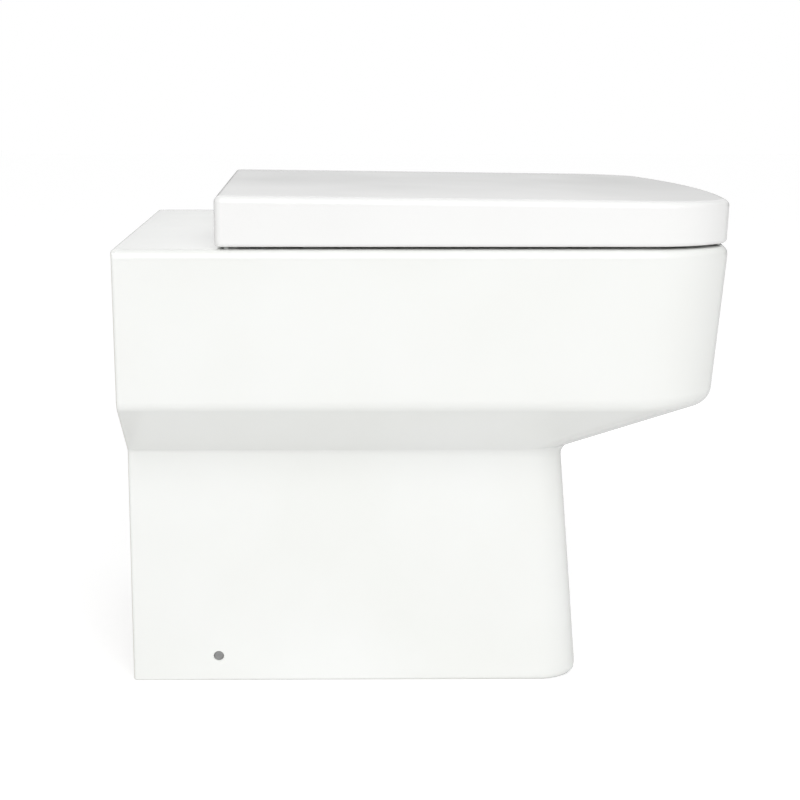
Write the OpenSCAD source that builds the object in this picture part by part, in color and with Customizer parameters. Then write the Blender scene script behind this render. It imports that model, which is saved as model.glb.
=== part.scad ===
// Back to wall toilet: glazed pan with a wrap-over, soft closing seat and lid.
// Every length is in millimetres. Inside the modules y is the distance forward of the wall;
// from_wall() turns that into the part's own frame: z up, the front towards -y, the origin on
// the floor under the middle of the pan.

/* [Pan] */
// Overall width of the pan
pan_w = 360; // [350:1:370]
// Projection of the pan from the wall
pan_d = 520; // [510:1:535]
// Height of the rim and the rear deck above the floor
pan_h = 400; // [396:1:410]
// Height of the lower edge of the upper body
chin_h = 267; // [260:1:275]
// Height of the waist, where the sloping underside meets the pedestal
waist_h = 216; // [208:1:222]
// Width of the pedestal at the waist
waist_w = 239; // [230:1:250]
// Depth of the pedestal at the waist
waist_d = 394; // [385:1:405]
// Width of the pedestal on the floor
foot_w = 255; // [250:1:270]
// Depth of the pedestal on the floor
foot_d = 418; // [408:1:430]
// Thickness of the outer wall
wall_t = 10; // [8:1:12]
// Thickness of the rear deck
deck_t = 14; // [12:1:16]

/* [Bowl] */
// Width of the opening inside the rim
bowl_w = 250; // [240:1:256]
// Distance of the back of the opening from the wall
bowl_back = 165; // [160:1:172]
// Distance of the front of the opening from the wall
bowl_front = 470; // [462:1:474]
// Height of the boxed rim
rim_h = 42; // [38:1:48]
// Thickness of the bowl and trap walls
bowl_t = 9; // [8:1:11]
// Number of flush holes under the rim
rim_holes = 18; // [10:1:24]

/* [Trap, outlet and inlet] */
// Height of the centre of the outlet
outlet_h = 180; // [175:1:185]
// Outer diameter of the outlet spigot
outlet_od = 102; // [100:0.5:104]
// Bore of the outlet spigot
outlet_id = 86; // [80:1:88]
// Distance of the end of the spigot from the wall
outlet_back = 60; // [50:1:70]
// Radius of the waterway through the trap
trap_r = 28; // [25:1:29]
// Height of the centre of the flush inlet
inlet_h = 345; // [340:1:348]
// Bore of the flush inlet
inlet_id = 55; // [50:1:56]
// Distance of the end of the inlet from the wall
inlet_back = 50; // [40:1:60]

/* [Lid and seat] */
// Distance of the back of the lid from the wall
lid_back = 83; // [81:0.5:84]
// Height of the lid above the rim at the back
lid_rise = 42.7; // [42:0.1:44]
// Fall of the top of the lid from back to front
lid_drop = 5.6; // [4:0.1:6]
// Gap between the rim and the lid
lid_gap = 2; // [1.5:0.1:2.5]
// Thickness of the top of the lid
lid_t = 4.5; // [4:0.1:5]
// Thickness of the skirt of the lid
skirt_t = 4; // [3.5:0.1:4.5]
// Gap between the seat and the skirt of the lid
nest_gap = 2.5; // [2:0.1:4]
// Height of the underside of the seat above the rim
seat_gap = 6; // [5:0.1:6.5]
// Depth from the top of the lid to the top of the seat
seat_below_lid = 12.5; // [12:0.1:13]
// Width of the opening in the seat
seat_hole_w = 226; // [215:1:234]
// Distance of the back of the seat from the wall
seat_back = 124; // [123:1:126]

/* [Hinges] */
// Spacing of the seat fixing bolts
hinge_spacing = 155; // [150:1:160]
// Distance of the hinge axis from the wall
axis_back = 93; // [92:0.5:94]
// Height of the hinge axis above the rim
axis_rise = 30; // [29.5:0.1:30.5]
// Diameter of the hinge pins
pin_d = 6; // [5:0.5:7]
// Outer radius of the hinge knuckles
knuckle_r = 7; // [6.5:0.1:7.2]
// Distance of the fixing bolts from the wall
bolt_back = 113.5; // [113:0.5:115]
// Diameter of the fixing bolts
bolt_d = 8; // [6:0.5:8]

/* [Floor fixings] */
// Distance of the side fixing holes from the wall
fix_back = 78; // [70:1:90]
// Height of the side fixing holes
fix_h = 24; // [22:1:30]
// Diameter of the side fixing holes
fix_d = 9; // [8:0.5:10]
// Spacing of the screw holes in the two floor brackets
bracket_spacing = 164; // [156:1:170]

/* [Hidden] */
$fn = 64;
past = 1;                  // how far a cutting shape runs past the surface it opens

// Plan outlines: [half width, front, start of the side arc, side, corner and front radius]
side_taper = 0.0127;       // the upper body narrows this much per unit of height
front_taper = 0.0432;
taper_start = 10;          // the front is upright this far below the rim
rim_plan = [pan_w / 2, pan_d, pan_d - 82, 88, 26, 700];
waist_plan = [waist_w / 2, waist_d, waist_d - 45, 45, 22, 520];
foot_plan = [foot_w / 2, foot_d, foot_d - 45, 45, 22, 520];
lid_plan = [pan_w / 2, pan_d - 1.5, pan_d - 83.5, 88, 26, 700];
edge_r = 4;                // round edge of the rim and the deck
back_r = 3;                // upright back corners of the pan
chin_r = 12;               // round lower edge of the upper body
waist_r = 5;               // hollow corner at the waist
foot_r = 1.5;

deck_under = pan_h - deck_t;
rim_under = pan_h - rim_h;
channel_floor = rim_under + 8;
channel_in = 9;            // china between the opening and the flush channel
channel_out = 23;          // outer edge of the flush channel from the opening
rim_solid = 33;            // outer edge of the rim's own china from the opening

lid_under = pan_h + lid_gap;
lid_top = pan_h + lid_rise;
lid_fall = lid_drop / (pan_d - lid_back);
lid_edge_r = 5.6;
lid_foot_r = 4;
seat_under = pan_h + seat_gap;
seat_plan_inset = skirt_t + nest_gap;
seat_edge_r = 6;
seat_hole_back = bowl_back + 14;
seat_hole_front = bowl_front - 24;
seat_hollow_top = seat_under + 13;
seat_wall = 7;

axis_h = pan_h + axis_rise;
half_spacing = hinge_spacing / 2;
running = 0.05;            // radial clearance of a turning fit
damper_r = 5;
post_w = 15;               // width of a hinge post
play = 1;                  // side play between a post and the knuckles beside it
knuckle_w = 19;
notch_in = 46;             // the back of the lid is cut away between these distances
notch_out = 109;

function arc_points(c, r, a0, a1, n) =
    [for (i = [1:n]) let (a = a0 + (a1 - a0) * i / n) c + r * [cos(a), sin(a)]];

// Centre of the corner arc that touches both the side arc and the front arc
function corner_centre(c1, a, c3, b) =
    let (d = norm(c3 - c1), e = (a * a - b * b + d * d) / (2 * d), u = (c3 - c1) / d)
    c1 + e * u + sqrt(a * a - e * e) * [-u[1], u[0]];

// Right half of an outline, from its back corner to the middle of its front
function half_outline(p, back, r) =
    let (c1 = [p[0] - p[3], p[2]], c3 = [0, p[1] - p[5]],
         c2 = corner_centre(c1, p[3] - p[4], c3, p[5] - p[4]),
         a1 = atan2(c2[1] - c1[1], c2[0] - c1[0]), a2 = atan2(c2[1] - c3[1], c2[0] - c3[0]))
    concat([[p[0] - r, back]], arc_points([p[0] - r, back + r], r, -90, 0, 3), [[p[0], p[2]]],
        arc_points(c1, p[3], 0, a1, 4), arc_points(c2, p[4], a1, a2, 6),
        arc_points(c3, p[5], a2, 90, 5));
function outline(p, back = 0, r = back_r) =
    let (h = half_outline(p, back, r))
    concat(h, [for (i = [len(h) - 2:-1:0]) [-h[i][0], h[i][1]]]);
function inset(p, t) = [p[0] - t, p[1] - t, p[2], p[3] - t, p[4] - t, p[5] - t];
function mix(a, b, t) = [for (i = [0:len(a) - 1]) a[i] * (1 - t) + b[i] * t];
function raise(pts, z) = [for (p = pts) [p[0], p[1], z]];

// Plan of the upper body at height z
function upper_plan(z) =
    let (f = front_taper * max(pan_h - taper_start - z, 0))
    rim_plan - [side_taper * (pan_h - z), f, f, 0, 0, 0];

// Top of the lid at distance y from the wall
function lid_z(y) = lid_top - lid_fall * (y - lid_back);

// Rounded, squarish oval between back and front
function oval(w, back, front, n, m = 40) =
    [for (i = [0:m - 1]) let (c = cos(360 * i / m), s = sin(360 * i / m))
        [w / 2 * sign(c) * pow(abs(c), 2 / n),
         (back + front) / 2 + (front - back) / 2 * sign(s) * pow(abs(s), 2 / n)]];
// The bowl's opening, wider by t all round
function opening(t, n = 3) = oval(bowl_w + 2 * t, bowl_back - t, bowl_front + t, n);

module from_wall() {
    translate([0, pan_d / 2, 0]) mirror([0, 1, 0]) children();
}

// Solid through rings of points that all have the same count
module loft(rings) {
    n = len(rings[0]);
    top = len(rings) - 1;
    polyhedron(
        points = [for (r = rings) each r],
        faces = concat(
            [[for (j = [0:n - 1]) j]],
            [for (i = [0:top - 1], j = [0:n - 1])
                let (k = (j + 1) % n, a = i * n, b = a + n)
                each [[a + j, b + j, b + k], [a + j, b + k, a + k]]],
            [[for (j = [n - 1:-1:0]) top * n + j]]));
}

module both_sides() {
    children();
    mirror([1, 0, 0]) children();
}

// Tube of radius r along stations [[y, z], direction] of the plane x = 0
module tube(stations, r, m = 20) {
    loft([for (s = stations) [for (i = [0:m - 1])
        let (q = s[0] + r * sin(360 * i / m) * [s[1][1], -s[1][0]]) [r * cos(360 * i / m), q[0], q[1]]]]);
}

module across(x0, x1, y, z, r) {
    translate([x0, y, z]) rotate([0, 90, 0]) cylinder(h = x1 - x0, r = r);
}

// ---- Pan ----

module pan_outside() {
    chin_a = outline(upper_plan(chin_h));
    waist = outline(waist_plan);
    foot = outline(foot_plan);
    blend = 0.9 * chin_r / (chin_h - waist_h);
    side_top = chin_h + 0.6 * chin_r;
    side_a = outline(upper_plan(side_top));
    hollow = waist_r / (chin_h - waist_h);
    loft(concat(
        [raise(outline(inset(foot_plan, foot_r), 0), 0), raise(mix(foot, waist, foot_r / waist_h), foot_r)],
        [raise(mix(foot, waist, 1 - waist_r / waist_h), waist_h - waist_r)],
        [raise(mix(waist, chin_a, hollow / 4), waist_h - waist_r / 8)],
        [raise(mix(waist, chin_a, hollow), waist_h + waist_r)],
        [for (i = [0:4]) let (t = 1 - i / 4, u = 1 - t)
            [for (j = [0:len(foot) - 1])
                let (low = mix(chin_a, waist, blend)[j], z_low = chin_h - blend * (chin_h - waist_h))
                    [u * u * side_a[j][0] + 2 * t * u * chin_a[j][0] + t * t * low[0],
                     u * u * side_a[j][1] + 2 * t * u * chin_a[j][1] + t * t * low[1],
                     u * u * side_top + 2 * t * u * chin_h + t * t * z_low]]],
        [for (z = [pan_h - taper_start, pan_h - edge_r]) raise(outline(upper_plan(z)), z)],
        [for (a = [30, 60, 90]) let (z = pan_h - edge_r * (1 - sin(a)))
            raise(outline(inset(upper_plan(z), edge_r * (1 - cos(a)))), z)]));
}

// Hollow between the outer wall and the bowl, open at the back and on the floor
module pan_hollow() {
    low = outline(inset(foot_plan, wall_t), -past);
    mid = outline(inset(waist_plan, wall_t), -past);
    shoulder = outline(inset(upper_plan(chin_h), wall_t), -past);
    top = outline(inset(upper_plan(pan_h), wall_t), -past);
    loft([raise(low, -past), raise(mid, waist_h + wall_t * 0.3), raise(shoulder, chin_h + wall_t * 0.6),
        raise(top, deck_under)]);
}

// Rings of the bowl: [width, back, front, squareness, height]
bowl_rings = [
    [30, 287, 319, 2, 88],
    [56, 272, 334, 2, 97],
    [78, 261, 345, 2, 122],
    [96, 256, 352, 2.1, 150],
    [116, 242, 350, 2.3, 200],
    [184, 216, 402, 2.5, 250],
    [240, 180, 461, 2.8, 305],
    [bowl_w + 36, bowl_back - 16, bowl_front + 16, 3, 345],
    [bowl_w + 44, bowl_back - 22, bowl_front + 22, 3, rim_under],
];
floor_below = 100;         // rings below this height are part of the bowl's floor
function bowl_ring(r, t) =
    raise(oval(r[0] + 2 * t, r[1] - t, r[2] + t, r[3]), r[4] - (r[4] < floor_below ? t : 0));

bowl_last = len(bowl_rings) - 1;
sump_ring = 4;             // the ring where the sump ends and the open bowl starts
wall_ring = 6;             // the ring where the bowl ends and the rim's own wall starts

// Rings a to b of the bowl, t outside its inner face, run on by low and high at the ends
function bowl_part(a, b, t, low = 0, high = 0) =
    let (first = bowl_ring(bowl_rings[a], t), last = bowl_ring(bowl_rings[b], t))
    concat(low > 0 ? [raise(first, first[0][2] - low)] : [], [for (i = [a:b]) bowl_ring(bowl_rings[i], t)],
        high > 0 ? [raise(last, last[0][2] + high)] : []);

module bowl_outside() {
    loft(bowl_part(0, bowl_last, bowl_t));
}

// Opening through the rim, with a round upper edge
module rim_opening() {
    rim_r = 6;
    loft(concat([raise(opening(0), rim_under - past), raise(opening(0), pan_h - rim_r)],
        [for (a = [30, 60, 90]) raise(opening(rim_r * (1 - cos(a))), pan_h - rim_r * (1 - sin(a)))],
        [raise(opening(rim_r), pan_h + past)]));
}

// Waterway: out of the sump, up a rise, over the weir and down into the outlet
sump_run = [311, 264];
sump_z = 116;
rise_r = 46;
rise_turn = 70;
rise_l = 50;
weir_r = 42;
weir_end = 125;
fall_l = 30;               // straight fall behind the weir
turn_r = 60;               // bend that levels the trap at the outlet
spigot_l = 40;
trap_join = outlet_back + spigot_l - bowl_t;
rise_c = [sump_run[1], sump_z + rise_r];
weir_c = rise_c - (rise_r + weir_r) * [sin(rise_turn), cos(rise_turn)]
    + rise_l * [-cos(rise_turn), sin(rise_turn)];
turn_c = weir_c + (weir_r + turn_r) * [cos(weir_end), sin(weir_end)]
    + fall_l * [-sin(weir_end), cos(weir_end)];
trap_line = concat(
    [[[sump_run[0], sump_z], [-1, 0]]],
    [for (i = [0:5]) let (a = 270 - rise_turn * i / 5)
        [rise_c + rise_r * [cos(a), sin(a)], [sin(a), -cos(a)]]],
    [for (i = [0:9]) let (a = 90 - rise_turn + (weir_end - 90 + rise_turn) * i / 9)
        [weir_c + weir_r * [cos(a), sin(a)], [-sin(a), cos(a)]]],
    [for (i = [0:4]) let (h = weir_end + 90 - (weir_end - 90) * i / 4)
        [turn_c + turn_r * [-sin(h), cos(h)], [cos(h), sin(h)]]]);

module spigot(r, y0, y1) {
    translate([0, y0, outlet_h]) rotate([-90, 0, 0]) cylinder(h = y1 - y0, r = r);
}

plenum_w = 76;
plenum_back = 92;
plenum_front = 124;
plenum_floor = 312;

module inlet_outside() {
    translate([0, inlet_back, inlet_h]) rotate([-90, 0, 0])
        cylinder(h = plenum_back - inlet_back, r = inlet_id / 2 + bowl_t);
    translate([-plenum_w / 2 - bowl_t, plenum_back - bowl_t, plenum_floor - bowl_t])
        cube([plenum_w + 2 * bowl_t, plenum_front - plenum_back + 3 * bowl_t,
            deck_under - plenum_floor + bowl_t]);
}

// Way from the plenum into the flush channel of the rim
module feed(top) {
    translate([-plenum_w / 2, plenum_back, channel_floor])
        cube([plenum_w, bowl_back - channel_in - 4 - plenum_back, top - channel_floor]);
}

module inlet_inside() {
    translate([0, inlet_back - past, inlet_h]) rotate([-90, 0, 0])
        cylinder(h = plenum_back - inlet_back + 2 * past, r = inlet_id / 2);
    translate([-plenum_w / 2, plenum_back, plenum_floor])
        cube([plenum_w, plenum_front - plenum_back, deck_under + past - plenum_floor]);
    feed(deck_under + past);
}

module rim_block(top) {
    translate([0, 0, rim_under]) linear_extrude(top - rim_under) polygon(opening(rim_solid));
}

bolt_hole_r = 6.5;
flush_hole_d = 7;

// The china is fired as one piece. Its nodes are the castings that are joined before firing:
// the pan itself with its deck, the boxed rim, the bowl, its sump, the trap and the flush inlet.
module pan() {
    color("white") from_wall() difference() {
        pan_outside();
        pan_hollow();
        translate([0, 0, deck_under - past]) linear_extrude(deck_t + 2 * past) polygon(opening(rim_solid));
        both_sides() {
            translate([half_spacing, bolt_back, deck_under - past])
                cylinder(h = deck_t + 2 * past, r = bolt_hole_r);
            across(waist_w / 2 - 3 * wall_t, foot_w / 2 + past, fix_back, fix_h, fix_d / 2);
        }
    }
}

// Boxed rim round the opening, level with the deck, with the flush channel, the flush holes and
// the wall that carries it on the bowl
module rim() {
    centre = opening((channel_in + channel_out) / 2 - past);
    color("white") from_wall() difference() {
        union() {
            rim_block(pan_h);
            loft(bowl_part(wall_ring, bowl_last, bowl_t, 0, past));
        }
        loft(bowl_part(wall_ring, bowl_last, 0, past));
        rim_opening();
        translate([0, 0, channel_floor]) linear_extrude(deck_under - channel_floor) difference() {
            polygon(opening(channel_out));
            polygon(opening(channel_in));
        }
        for (i = [0:rim_holes - 1]) let (p = centre[round(i * len(centre) / rim_holes) % len(centre)])
            translate([p[0], p[1], rim_under - past])
                cylinder(h = channel_floor - rim_under + 2 * past, d = flush_hole_d);
        feed(deck_under);
    }
}

module bowl() {
    color("white") from_wall() difference() {
        loft(bowl_part(sump_ring, wall_ring, bowl_t));
        loft(bowl_part(sump_ring, wall_ring, 0, past, past));
    }
}

// Deep well of the bowl, which holds the water and opens into the trap
module sump() {
    color("white") from_wall() difference() {
        loft(bowl_part(0, sump_ring, bowl_t));
        loft(bowl_part(0, sump_ring, 0, 0, past));
        tube(trap_line, trap_r);
    }
}

module trap() {
    color("white") from_wall() difference() {
        union() {
            tube(trap_line, trap_r + bowl_t);
            spigot(outlet_od / 2, outlet_back, outlet_back + spigot_l);
        }
        bowl_outside();
        tube(trap_line, trap_r);
        spigot(outlet_id / 2, outlet_back - past, trap_join);
    }
}

module inlet() {
    color("white") from_wall() difference() {
        inlet_outside();
        inlet_inside();
        rim_block(deck_under);
        bowl_outside();
    }
}

// ---- Lid ----

function lid_ring(side, back, drop) =
    [for (p = outline(inset(lid_plan, side), lid_back + back, max(6 - side, 0.5)))
        [p[0], p[1], lid_z(p[1]) - drop]];

module lid_outside() {
    loft(concat(
        [for (a = [0, 45, 90]) let (k = 1 - sin(a))
            raise(outline(inset(lid_plan, 1.2 * k), lid_back + lid_foot_r * k, 6),
                lid_under + lid_foot_r * (1 - cos(a)))],
        [for (a = [0, 22.5, 45, 67.5, 90]) let (k = lid_edge_r * (1 - cos(a)))
            lid_ring(k, k, lid_edge_r * (1 - sin(a)))]));
}

module lid_inside() {
    plan = outline(inset(lid_plan, skirt_t), lid_back + skirt_t, 3);
    loft([raise(plan, lid_under - past), [for (p = plan) [p[0], p[1], lid_z(p[1]) - lid_t]]]);
}

lid_knuckle_x = half_spacing - post_w / 2 - play - knuckle_w;
seat_knuckle_x = half_spacing + post_w / 2 + play;

// Knuckle under the back of the lid, with a gusset that runs forward along its top
module lid_knuckle() {
    across(lid_knuckle_x, lid_knuckle_x + knuckle_w, axis_back, axis_h, knuckle_r);
    top = lid_top - lid_t + past / 4;
    translate([lid_knuckle_x, 0, 0]) rotate([90, 0, 90]) linear_extrude(knuckle_w)
        polygon([[axis_back - knuckle_r, axis_h], [axis_back + knuckle_r, axis_h],
            [axis_back + 42, top - 0.6], [axis_back - knuckle_r, top]]);
}

module lid() {
    color("white") from_wall() difference() {
        union() {
            difference() {
                lid_outside();
                lid_inside();
                both_sides() translate([notch_in, lid_back - past, lid_under - past])
                    cube([notch_out - notch_in, skirt_t + 2 * past, lid_top - lid_edge_r - lid_under + past]);
            }
            both_sides() lid_knuckle();
        }
        both_sides()
            across(lid_knuckle_x - past, lid_knuckle_x + knuckle_w + past, axis_back, axis_h, damper_r);
    }
}

// ---- Seat ----

function seat_top(y) = lid_z(y) - seat_below_lid;
function seat_ring(side, back, drop) =
    [for (p = outline(inset(lid_plan, seat_plan_inset + side), seat_back + back, max(9 - side, 0.5)))
        [p[0], p[1], seat_top(p[1]) - drop]];

module seat_outside() {
    plan = outline(inset(lid_plan, seat_plan_inset), seat_back, 9);
    loft(concat([raise(outline(inset(lid_plan, seat_plan_inset + 1), seat_back + 1, 8), seat_under),
        raise(plan, seat_under + 1)],
        [for (a = [0, 30, 60, 90]) let (k = seat_edge_r * (1 - cos(a)))
            seat_ring(k, k, seat_edge_r * (1 - sin(a)))]));
}

function seat_hole(t) = oval(seat_hole_w + 2 * t, seat_hole_back - t, seat_hole_front + t, 3);

module seat_inside() {
    r = 9;
    loft(concat([raise(seat_hole(1), seat_under - past), raise(seat_hole(0), seat_under + past)],
        [for (a = [0, 30, 60, 90]) let (k = r * (1 - cos(a)))
            [for (p = seat_hole(k)) [p[0], p[1], seat_top(p[1]) - r * (1 - sin(a))]]],
        [[for (p = seat_hole(r)) [p[0], p[1], seat_top(p[1]) + past]]]));
}

seat_pads = [[147, 205], [147, 395]];
boss_r = 14;

// Hollow underside, leaving bosses for the buffers and solid ground for the knuckles
module seat_hollow() {
    difference() {
        translate([0, 0, seat_under - past]) linear_extrude(seat_hollow_top - seat_under + past)
            difference() {
                polygon(outline(inset(lid_plan, seat_plan_inset + seat_wall), seat_back + seat_wall, 4));
                polygon(seat_hole(seat_wall));
            }
        both_sides() {
            for (p = seat_pads) translate([p[0], p[1], seat_under - 2 * past])
                cylinder(h = 20, r = boss_r);
            translate([seat_knuckle_x - 2, seat_back, seat_under - 2 * past]) cube([knuckle_w + 4, 30, 20]);
        }
    }
}

module seat_knuckle() {
    across(seat_knuckle_x, seat_knuckle_x + knuckle_w, axis_back, axis_h, knuckle_r);
    translate([seat_knuckle_x, 0, 0]) rotate([90, 0, 90]) linear_extrude(knuckle_w)
        polygon([[axis_back, axis_h - knuckle_r], [seat_back + 4, seat_under + 4],
            [seat_back + 20, seat_under + 12], [seat_back + 16, seat_top(seat_back + 16) - 0.5],
            [axis_back, axis_h + knuckle_r]]);
}

module seat() {
    color("white") from_wall() difference() {
        union() {
            difference() {
                seat_outside();
                seat_inside();
                seat_hollow();
            }
            both_sides() seat_knuckle();
        }
        both_sides() {
            across(seat_knuckle_x - past, seat_knuckle_x + knuckle_w + past, axis_back, axis_h, damper_r);
            for (p = seat_pads) translate([p[0], p[1], seat_under - past])
                cylinder(h = stem_hole + past, r = buffer_stem_r);
        }
    }
}

// ---- Buffers ----

buffer_stem_r = 4;
stem_hole = 9;             // depth of the hole for a buffer's stem
seat_buffer_r = 10;
lid_buffer_r = 7;
rest_gap = 0.3;            // buffers stop just short of what they rest on

module seat_buffers() {
    pad = seat_gap - rest_gap;
    color("gainsboro") from_wall() both_sides() for (p = seat_pads)
        translate([p[0], p[1], pan_h + rest_gap]) {
            cylinder(h = pad, r = seat_buffer_r);
            cylinder(h = pad + stem_hole - past, r = buffer_stem_r);
        }
}

lid_pads = [[142, 170], [140, 440]];

module lid_buffers() {
    tilt = atan(lid_fall);
    color("gainsboro") from_wall() both_sides() for (p = lid_pads) difference() {
        translate([p[0], p[1], seat_top(p[1] - lid_buffer_r) + rest_gap])
            cylinder(h = seat_below_lid, r = lid_buffer_r);
        translate([p[0], p[1], lid_z(p[1]) - lid_t]) rotate([-tilt, 0, 0]) translate([-20, -20, 0])
            cube([40, 40, 20]);
    }
}

// ---- Hinges ----

gasket_t = 1.5;
flange_t = 3;
flange_r = 13;
bolt_in_post = 22;         // length of the bolt inside the post

// Post that stands in front of the axis and reaches back to it over the deck
module hinge_post(side) {
    x = half_spacing - post_w / 2;
    foot = pan_h + gasket_t;
    column_y = bolt_back - 6.5;
    color("silver") from_wall() mirror([side < 0 ? 1 : 0, 0, 0]) difference() {
        union() {
            translate([half_spacing, bolt_back, foot]) cylinder(h = flange_t, r = flange_r);
            translate([x, column_y, foot]) cube([post_w, 13, axis_h + knuckle_r - foot - 2]);
            translate([x, axis_back, axis_h - 4]) cube([post_w, column_y + 13 - axis_back, knuckle_r + 2]);
            across(x, x + post_w, axis_back, axis_h, knuckle_r);
        }
        across(x - past, x + post_w + past, axis_back, axis_h, pin_d / 2);
        translate([half_spacing, bolt_back, foot - past]) cylinder(h = bolt_in_post + past, d = bolt_d);
    }
}

module hinge_pin(side) {
    x0 = lid_knuckle_x + 1;
    color("silver") from_wall() mirror([side < 0 ? 1 : 0, 0, 0])
        across(x0, seat_knuckle_x + knuckle_w - 1, axis_back, axis_h, pin_d / 2);
}

// Sleeve inside a knuckle that turns on the pin; a damper has a groove round it, a bush is plain
module knuckle_sleeve(side, x, grooved) {
    from_wall() mirror([side < 0 ? 1 : 0, 0, 0]) difference() {
        across(x, x + knuckle_w, axis_back, axis_h, damper_r);
        across(x - past, x + knuckle_w + past, axis_back, axis_h, pin_d / 2 + running);
        if (grooved) difference() {
            across(x + 3, x + 4.5, axis_back, axis_h, damper_r + past);
            across(x + 3 - past, x + 4.5 + past, axis_back, axis_h, damper_r - 0.6);
        }
    }
}

module hinge_gasket(side) {
    color("gainsboro") from_wall() translate([side * half_spacing, bolt_back, pan_h]) difference() {
        cylinder(h = gasket_t, r = flange_r + 1);
        translate([0, 0, -past]) cylinder(h = gasket_t + 2 * past, d = bolt_d);
    }
}

bolt_bottom = 346;

module hinge_bolt(side) {
    color("silver") from_wall() translate([side * half_spacing, bolt_back, bolt_bottom])
        cylinder(h = pan_h + gasket_t + bolt_in_post - bolt_bottom, d = bolt_d);
}

washer_t = 4;
washer_r = 12;

// Rubber washer with a neck that centres the bolt in the deck hole
module cone_washer(side) {
    low = deck_under - washer_t;
    high = pan_h - 2;
    color("dimgray") from_wall() translate([side * half_spacing, bolt_back, 0]) rotate_extrude()
        polygon([[bolt_d / 2, low], [washer_r, low], [washer_r, deck_under],
            [bolt_hole_r, deck_under], [bolt_hole_r, high], [bolt_d / 2, high]]);
}

nut_h = 14;
nut_r = 9;
wing_l = 34;
wing_t = 4;
wing_h = 11;

module wing_nut(side) {
    foot = deck_under - washer_t - nut_h;
    color("white") from_wall() translate([side * half_spacing, bolt_back, foot]) difference() {
        union() {
            cylinder(h = nut_h, r = nut_r);
            translate([-wing_l / 2, -wing_t / 2, 0]) cube([wing_l, wing_t, wing_h]);
            translate([-wing_t / 2, -wing_l / 2, 0]) cube([wing_t, wing_l, wing_h]);
        }
        translate([0, 0, -past]) cylinder(h = nut_h + 2 * past, d = bolt_d);
    }
}

// ---- Floor fixings ----

bracket_l = 40;            // length of a bracket along the side wall
bracket_h = 44;
bracket_t = 5;             // thickness of the bracket's foot
upright_t = 6;
rib_t = 4;
bracket_y = fix_back - bracket_l / 2;
bracket_out = 113;         // outer face of the bracket's upright
fix_face = foot_w / 2 - 1.6;
head_seat = fix_face - 5;
head_r = 3.9;              // head of the side screw
head_h = 2.6;
screw_r = 2.5;
sleeve_lip = 3;            // the sleeve runs this far past the seat of the head
cap_sunk = 0.4;            // the cap sits this far inside the mouth of its hole

module floor_bracket(side) {
    hole_x = bracket_spacing / 2;
    rib_face = bracket_out - upright_t + past;
    color("whitesmoke") from_wall() mirror([side < 0 ? 1 : 0, 0, 0]) difference() {
        union() {
            translate([hole_x - bracket_l / 2, bracket_y, 0])
                cube([bracket_out - hole_x + bracket_l / 2, bracket_l, bracket_t]);
            translate([bracket_out - upright_t, bracket_y, 0]) cube([upright_t, bracket_l, bracket_h]);
            for (y = [rib_t, bracket_l]) translate([0, bracket_y + y, 0]) rotate([90, 0, 0])
                linear_extrude(rib_t) polygon([[hole_x - 8, bracket_t - past],
                    [rib_face, bracket_t - past], [rib_face, bracket_h - rib_t]]);
            across(bracket_out - 20, rib_face, fix_back, fix_h, 7);
        }
        translate([hole_x, fix_back, -past]) cylinder(h = bracket_t + 2 * past, d = 8);
        across(bracket_out - 20 - past, bracket_out + past, fix_back, fix_h, screw_r);
    }
}

module side_sleeve(side) {
    color("gray") from_wall() mirror([side < 0 ? 1 : 0, 0, 0]) difference() {
        across(bracket_out, head_seat + sleeve_lip, fix_back, fix_h, fix_d / 2);
        across(bracket_out - past, head_seat + sleeve_lip + past, fix_back, fix_h, screw_r);
        across(head_seat, head_seat + sleeve_lip + past, fix_back, fix_h, head_r);
    }
}

module side_screw(side) {
    color("silver") from_wall() mirror([side < 0 ? 1 : 0, 0, 0]) {
        across(bracket_out - 24, head_seat, fix_back, fix_h, screw_r);
        across(head_seat, head_seat + head_h, fix_back, fix_h, head_r);
    }
}

module side_cap(side) {
    color("gray") from_wall() mirror([side < 0 ? 1 : 0, 0, 0])
        across(head_seat + sleeve_lip, fix_face - cap_sunk, fix_back, fix_h, fix_d / 2);
}

pan();
rim();
bowl();
sump();
trap();
inlet();
seat();
lid();
seat_buffers();
lid_buffers();
hinge_post(-1);  // hinge_post_left
hinge_post(1);  // hinge_post_right
hinge_pin(-1);  // hinge_pin_left
hinge_pin(1);  // hinge_pin_right
color("gray") knuckle_sleeve(-1, seat_knuckle_x, true);  // seat_damper
color("gray") knuckle_sleeve(1, lid_knuckle_x, true);  // lid_damper
color("white") knuckle_sleeve(1, seat_knuckle_x, false);  // seat_bush
color("white") knuckle_sleeve(-1, lid_knuckle_x, false);  // lid_bush
hinge_gasket(-1);  // hinge_gasket_left
hinge_gasket(1);  // hinge_gasket_right
hinge_bolt(-1);  // hinge_bolt_left
hinge_bolt(1);  // hinge_bolt_right
cone_washer(-1);  // cone_washer_left
cone_washer(1);  // cone_washer_right
wing_nut(-1);  // wing_nut_left
wing_nut(1);  // wing_nut_right
floor_bracket(-1);  // floor_bracket_left
floor_bracket(1);  // floor_bracket_right
side_sleeve(-1);  // side_sleeve_left
side_sleeve(1);  // side_sleeve_right
side_screw(-1);  // side_screw_left
side_screw(1);  // side_screw_right
side_cap(-1);  // side_cap_left
side_cap(1);  // side_cap_right
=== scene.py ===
"""Looks of a back to wall toilet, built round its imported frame.

Sizes inside the classes are millimetres, with y measured forward of the wall, as on a maker's
drawing. to_frame() turns them into metres in the shared frame.
"""

import logging
import math
from collections.abc import Callable, Sequence
from dataclasses import dataclass, field, replace
from enum import Enum

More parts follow.
